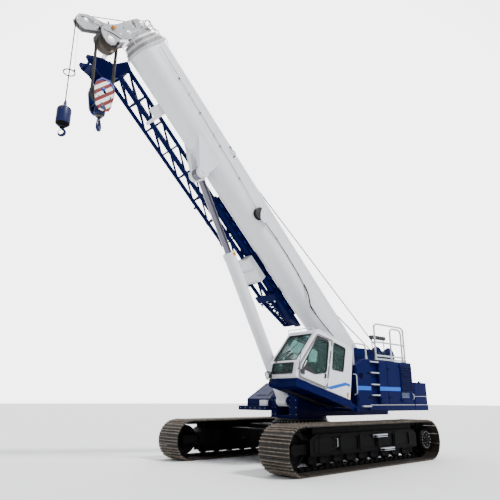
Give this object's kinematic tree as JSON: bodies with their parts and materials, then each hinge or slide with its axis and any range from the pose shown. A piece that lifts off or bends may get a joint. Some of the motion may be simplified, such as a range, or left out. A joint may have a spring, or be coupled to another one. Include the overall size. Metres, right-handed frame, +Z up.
{
  "type": "crawler crane",
  "caption": "Telescopic boom crawler crane, boom retracted and raised, operator's cab tipped up, lattice jib stowed at the side.",
  "frame": {"origin": "on the ground, centred between the machine's ends and between its tracks", "axes": "+X the way the machine drives and the boom points, +Y to the machine's left, on the cab's side, +Z up"},
  "size_m": [11.9464, 4.81, 10.7754],
  "materials": {
    "white_paint": "gloss",
    "dark_blue_paint": "gloss",
    "light_blue_paint": "gloss",
    "grey_paint": "satin",
    "black_paint": "satin",
    "track_steel": "matt, dusty",
    "sheave_steel": "machined, dusty",
    "rod_chrome": "polished",
    "rope_steel": "wire rope",
    "tinted_glass": "clear, tinted",
    "black_trim": "matt",
    "striped_paint": "gloss, red and white stripes",
    "hook_paint": "satin"
  },
  "bodies": {
    "undercarriage": {"carbody": "black_paint", "slew_ring": "black_paint", "track_frame_left": "black_paint", "track_frame_right": "black_paint", "track_left": "track_steel", "track_right": "track_steel", "wheels_left": "black_paint", "wheels_right": "black_paint", "sprocket_left": "black_paint", "sprocket_right": "black_paint"},
    "upper": {"upper_frame": "dark_blue_paint", "front_box": "dark_blue_paint", "house_left": "dark_blue_paint", "house_right": "dark_blue_paint", "engine": "grey_paint", "hood": "dark_blue_paint", "counterweight": "dark_blue_paint", "grille_and_steps": "grey_paint", "guard_rails": "grey_paint", "winch_main": "dark_blue_paint", "winch_aux": "dark_blue_paint"},
    "cab": {"cab_shell": "white_paint", "cab_glass": "tinted_glass", "cab_interior": "black_trim", "cab_platform": "dark_blue_paint"},
    "cab_door": {"door": "white_paint", "door_glass": "tinted_glass"},
    "boom_section_1": {"boom_base": "white_paint", "jib_lattice": "dark_blue_paint", "jib_box": "dark_blue_paint", "boom_fittings": "black_trim"},
    "boom_section_2": {"boom_section_2": "white_paint"},
    "boom_section_3": {"boom_section_3": "white_paint"},
    "boom_section_4": {"boom_section_4": "white_paint"},
    "boom_section_5": {"boom_section_5": "white_paint", "boom_head": "white_paint", "head_sheaves": "sheave_steel", "rooster": "white_paint"},
    "main_block": {"main_falls": "rope_steel", "hook_block": "striped_paint", "main_hook": "hook_paint"},
    "aux_block": {"whip_rope": "rope_steel", "aux_weight": "hook_paint"},
    "lift_rod": {"lift_rod": "rod_chrome"},
    "lift_barrel": {"lift_barrel": "white_paint"}
  },
  "joints": [
    {"name": "slew", "type": "hinge", "parent": "undercarriage", "child": "upper", "pos_m": [-1.58316, 0, 1.05], "axis": [0, 0, 1], "continuous": true},
    {"name": "cab_tilt", "type": "hinge", "parent": "upper", "child": "cab", "pos_m": [-2.18316, 1, 1.29], "axis": [0, -1, 0], "range_deg": [-14, 6]},
    {"name": "cab_door", "type": "hinge", "parent": "cab", "child": "cab_door", "pos_m": [-1.02999, 1.518, 2.29895], "axis": [-0.2419, 0, 0.9703], "range_deg": [0, 75]},
    {"name": "boom_luff", "type": "hinge", "parent": "upper", "child": "boom_section_1", "pos_m": [-3.93316, 0, 2.42], "axis": [0, -1, 0], "range_deg": [-44, 36]},
    {"name": "telescope", "type": "slide", "parent": "boom_section_1", "child": "boom_section_2", "axis": [0.7193, 0, 0.6947], "range_m": [0, 7]},
    {"name": "telescope_3", "type": "slide", "parent": "boom_section_2", "child": "boom_section_3", "axis": [0.7193, 0, 0.6947], "range_m": [0, 7]},
    {"name": "telescope_4", "type": "slide", "parent": "boom_section_3", "child": "boom_section_4", "axis": [0.7193, 0, 0.6947], "range_m": [0, 7]},
    {"name": "telescope_5", "type": "slide", "parent": "boom_section_4", "child": "boom_section_5", "axis": [0.7193, 0, 0.6947], "range_m": [0, 7]},
    {"name": "main_block_swing", "type": "hinge", "parent": "boom_section_5", "child": "main_block", "pos_m": [5.02666, 0, 9.71977], "axis": [0, -1, 0], "range_deg": [-36, 44]},
    {"name": "aux_block_swing", "type": "hinge", "parent": "boom_section_5", "child": "aux_block", "pos_m": [5.61766, 0, 10.03053], "axis": [0, -1, 0], "range_deg": [-36, 44]},
    {"name": "lift_rod_pivot", "type": "hinge", "parent": "boom_section_1", "child": "lift_rod", "pos_m": [2.16689, 0, 7.21947], "axis": [0, -1, 0], "range_deg": [-16, 13.1]},
    {"name": "lift_stroke", "type": "slide", "parent": "lift_rod", "child": "lift_barrel", "axis": [0.4753, 0, 0.8798], "range_m": [-1.47, 1.79]}
  ],
  "couplings": [
    {"joint": "telescope_3", "follows": "telescope", "ratio": 1},
    {"joint": "telescope_4", "follows": "telescope", "ratio": 1},
    {"joint": "telescope_5", "follows": "telescope", "ratio": 1},
    {"joint": "main_block_swing", "follows": "boom_luff", "ratio": -1},
    {"joint": "aux_block_swing", "follows": "boom_luff", "ratio": -1},
    {"joint": "lift_rod_pivot", "follows": "boom_luff", "ratio": 0.3625},
    {"joint": "lift_stroke", "follows": "boom_luff", "m_per_rad": -2.327}
  ]
}
